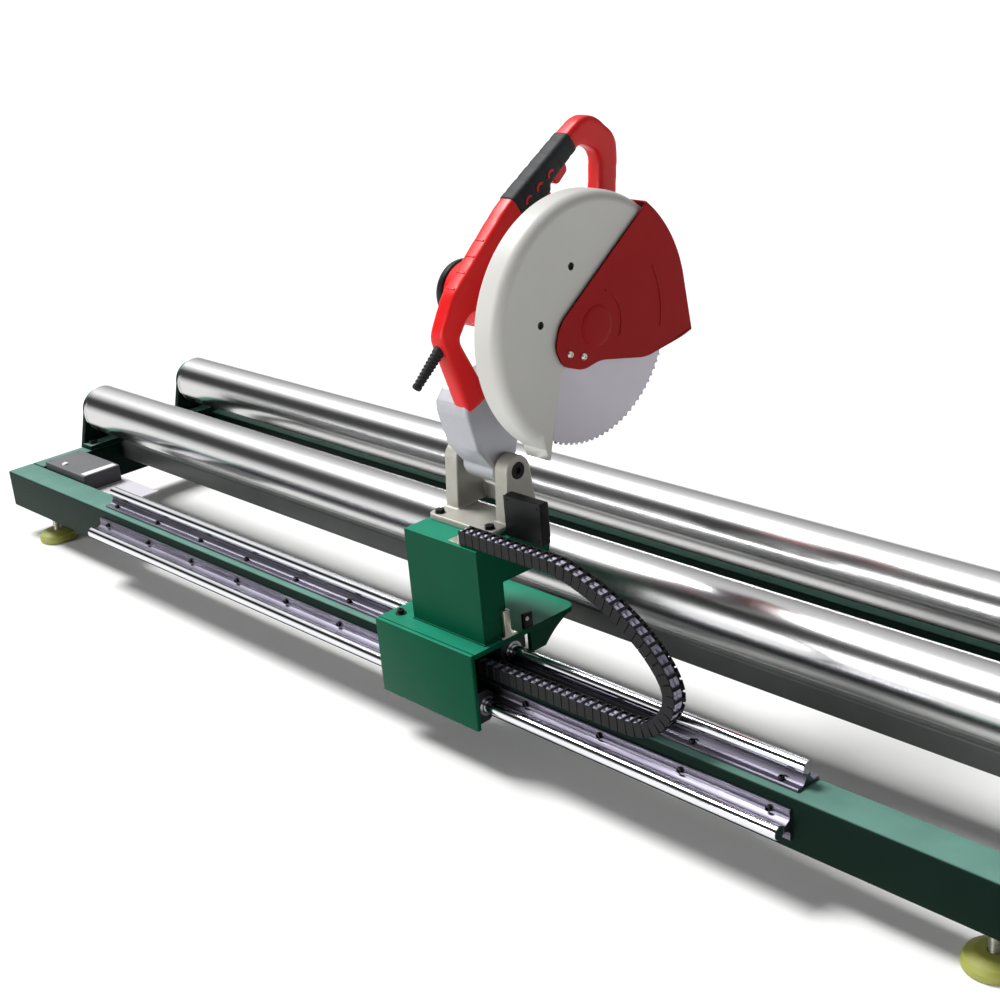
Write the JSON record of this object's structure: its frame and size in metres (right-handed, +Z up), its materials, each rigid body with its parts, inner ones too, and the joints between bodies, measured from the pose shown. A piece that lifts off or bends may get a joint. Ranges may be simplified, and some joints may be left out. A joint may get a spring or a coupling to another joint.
{
  "type": "rail-guided roll cutting saw",
  "caption": "Cut-off saw on a carriage that slides along a long box beam on round rails, beside two steel rollers that hold the roll being cut.",
  "frame": {"origin": "floor level under the middle of the whole machine's outline", "axes": "+X along the beam and rails, +Y from the operator's side towards the rollers, +Z up"},
  "size_m": [2.5, 0.6249, 0.9191],
  "materials": {
    "frame_green": "satin green paint",
    "carriage_green": "gloss green paint",
    "foot_green": "yellow-green paint",
    "roller_steel": "ground and polished",
    "shaft_steel": "hardened and chromed",
    "rail_aluminium": "anodised",
    "block_aluminium": "machined",
    "seal_black": "moulded",
    "fastener_black": "black oxide",
    "fastener_zinc": "zinc plated",
    "bearing_steel": "ground",
    "cast_silver": "painted casting",
    "cast_base": "worn casting",
    "guard_silver": "silver paint",
    "red_plastic": "moulded",
    "red_guard": "moulded",
    "grip_rubber": "moulded",
    "black_plastic": "moulded",
    "box_grey": "moulded",
    "button_white": "moulded",
    "sheet_light": "light paint",
    "blade_steel": "ground",
    "spindle_steel": "turned",
    "copper_iron": "laminated core and windings",
    "spring_steel": "oiled spring wire"
  },
  "bodies": {
    "frame": {"front_beam": "frame_green", "rear_beam": "frame_green", "left_cross_member": "frame_green", "right_cross_member": "frame_green", "tie_beam": "frame_green", "beam_caps": "black_plastic", "foot_pads": "foot_green", "foot_screws": "fastener_zinc", "foot_nuts": "fastener_zinc", "roller_brackets": "carriage_green", "roller_bearings": "bearing_steel", "bracket_bolts": "fastener_black", "top_rail_support": "rail_aluminium", "top_rail_shaft": "shaft_steel", "front_rail_support": "rail_aluminium", "front_rail_shaft": "shaft_steel", "rail_bolts": "fastener_black", "switch_box": "box_grey", "switch_sheet": "sheet_light", "chain_lower_run": "black_plastic", "chain_frame_bracket": "fastener_zinc"},
    "front_roller": {"front_roller_tube": "roller_steel", "front_roller_journals": "bearing_steel"},
    "rear_roller": {"rear_roller_tube": "roller_steel", "rear_roller_journals": "bearing_steel"},
    "button": {"switch_button": "button_white"},
    "carriage": {"carriage_plate": "carriage_green", "carriage_cover": "carriage_green", "carriage_skirts": "carriage_green", "top_bearing_blocks": "block_aluminium", "front_bearing_blocks": "block_aluminium", "bearing_seals": "seal_black", "carriage_bolts": "fastener_black", "column": "carriage_green", "saw_base": "cast_base", "pivot_pin": "fastener_black", "return_spring": "spring_steel", "junction_box": "black_plastic", "limit_switch": "black_plastic", "chain_upper_run": "black_plastic", "chain_carriage_bracket": "fastener_zinc"},
    "chain_turn": {"chain_bend": "black_plastic"},
    "head": {"arm_casting": "cast_silver", "gear_case": "cast_silver", "motor_housing": "red_plastic", "motor_cap": "black_plastic", "motor_stator": "copper_iron", "upper_guard": "guard_silver", "handle_shell_left": "red_plastic", "handle_shell_right": "red_plastic", "handle_grip": "grip_rubber", "cable_boot": "grip_rubber"},
    "armature": {"motor_armature": "copper_iron"},
    "blade_set": {"arbor_shaft": "spindle_steel", "blade_flanges": "spindle_steel", "arbor_bolt": "spindle_steel", "saw_blade": "blade_steel"},
    "moving_guard": {"lower_guard": "red_guard", "guard_screws": "fastener_zinc"},
    "trigger_lever": {"trigger": "red_plastic"}
  },
  "joints": [
    {"name": "carriage_travel", "type": "slide", "parent": "frame", "child": "carriage", "axis": [1, 0, 0], "range_m": [-0.86, 0.34], "deforming": ["chain_upper_run"]},
    {"name": "chain_follow", "type": "slide", "parent": "frame", "child": "chain_turn", "axis": [1, 0, 0], "range_m": [-0.43, 0.17], "deforming": ["chain_lower_run"]},
    {"name": "front_roller_spin", "type": "hinge", "parent": "frame", "child": "front_roller", "pos_m": [0, -0.0125, 0.217], "axis": [1, 0, 0], "continuous": true},
    {"name": "rear_roller_spin", "type": "hinge", "parent": "frame", "child": "rear_roller", "pos_m": [0, 0.2335, 0.217], "axis": [1, 0, 0], "continuous": true},
    {"name": "button_press", "type": "slide", "parent": "frame", "child": "button", "axis": [0, 0, -1], "range_m": [0, 0.003], "stiffness_N_per_m": 400, "springref_m": -0.001},
    {"name": "saw_chop", "type": "hinge", "parent": "carriage", "child": "head", "pos_m": [0.228, -0.1605, 0.434], "axis": [-1, 0, 0], "range_deg": [0, 58], "stiffness_Nm_per_rad": 25, "springref_deg": -34.38},
    {"name": "blade_spin", "type": "hinge", "parent": "head", "child": "blade_set", "pos_m": [0.365, -0.0755, 0.649], "axis": [1, 0, 0], "continuous": true},
    {"name": "armature_spin", "type": "hinge", "parent": "head", "child": "armature", "pos_m": [0.2, -0.10202, 0.67552], "axis": [1, 0, 0], "continuous": true},
    {"name": "guard_swing", "type": "hinge", "parent": "head", "child": "moving_guard", "pos_m": [0.365, -0.0755, 0.649], "axis": [1, 0, 0], "range_deg": [0, 55]},
    {"name": "trigger_squeeze", "type": "slide", "parent": "head", "child": "trigger_lever", "axis": [0, -0.5198, 0.8543], "range_m": [0, 0.006], "stiffness_N_per_m": 600, "springref_m": -0.002}
  ],
  "couplings": [
    {"joint": "chain_follow", "follows": "carriage_travel", "ratio": 0.5},
    {"joint": "armature_spin", "follows": "blade_spin", "ratio": -4},
    {"joint": "guard_swing", "follows": "saw_chop", "ratio": 0.94}
  ]
}
